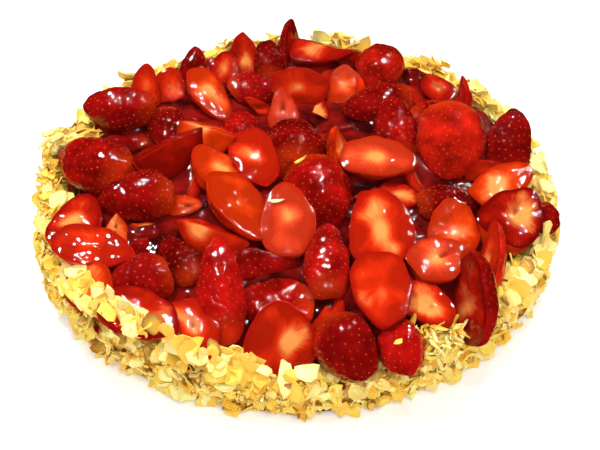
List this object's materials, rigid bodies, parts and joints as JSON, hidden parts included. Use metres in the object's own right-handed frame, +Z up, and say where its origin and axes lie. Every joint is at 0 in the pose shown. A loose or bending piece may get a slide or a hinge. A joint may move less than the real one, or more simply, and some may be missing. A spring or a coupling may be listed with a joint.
{
  "type": "strawberry flan",
  "caption": "Round open fruit flan: a low pastry case clad in flaked almonds, filled with red jelly and heaped with whole, halved and quartered glazed strawberries.",
  "frame": {"origin": "middle of the flat underside of the pastry case, where the flan stands", "axes": "+Z up, square to the flat underside; -Y is the front of the pictured view and +X its right"},
  "size_m": [0.2641, 0.2639, 0.0549],
  "materials": {
    "almond_crust": "matte baked pastry set with toasted almond flakes",
    "red_jelly": "wet dark red jelly glaze",
    "berry_dark": "wet crimson strawberry skin",
    "berry_red": "wet red strawberry skin",
    "berry_bright": "wet orange-red strawberry, cut or skin",
    "berry_orange": "wet orange cut face of a strawberry",
    "berry_salmon": "wet salmon-pink cut face of a strawberry"
  },
  "bodies": {
    "root": {"berry_half_01": "berry_dark", "berry_half_02": "berry_red", "berry_half_03": "berry_dark", "berry_half_04": "berry_bright", "berry_half_05": "berry_dark", "berry_half_06": "berry_bright", "berry_half_09": "berry_orange", "berry_half_10": "berry_dark", "berry_half_11": "berry_bright", "berry_half_12": "berry_orange", "berry_half_13": "berry_dark", "berry_half_14": "berry_red", "berry_half_15": "berry_red", "berry_half_16": "berry_red", "berry_half_17": "berry_salmon", "berry_half_19": "berry_dark", "berry_half_20": "berry_orange", "berry_half_21": "berry_dark", "berry_half_22": "berry_dark", "berry_half_23": "berry_bright", "berry_half_24": "berry_dark", "berry_half_25": "berry_orange", "berry_half_27": "berry_orange", "berry_half_28": "berry_salmon", "berry_half_29": "berry_dark", "berry_half_33": "berry_bright", "berry_half_34": "berry_orange", "berry_half_37": "berry_orange", "berry_half_38": "berry_salmon", "berry_half_40": "berry_bright", "berry_half_41": "berry_red", "berry_half_42": "berry_bright", "berry_half_43": "berry_orange", "berry_half_44": "berry_red", "berry_half_45": "berry_bright", "berry_half_46": "berry_dark", "berry_half_48": "berry_red", "berry_half_49": "berry_dark", "berry_half_50": "berry_red", "berry_half_51": "berry_red", "berry_half_52": "berry_bright", "berry_half_55": "berry_bright", "berry_half_56": "berry_bright", "berry_half_57": "berry_dark", "berry_half_58": "berry_salmon", "berry_quarter_31": "berry_dark", "berry_quarter_32": "berry_orange", "berry_quarter_39": "berry_bright", "berry_whole_07": "berry_dark", "berry_whole_08": "berry_bright", "berry_whole_18": "berry_bright", "berry_whole_26": "berry_dark", "berry_whole_30": "berry_red", "berry_whole_35": "berry_dark", "berry_whole_36": "berry_red", "berry_whole_47": "berry_dark", "berry_whole_53": "berry_dark", "berry_whole_54": "berry_red", "flan_base": "almond_crust", "glaze_bed": "red_jelly"}
  },
  "joints": []
}
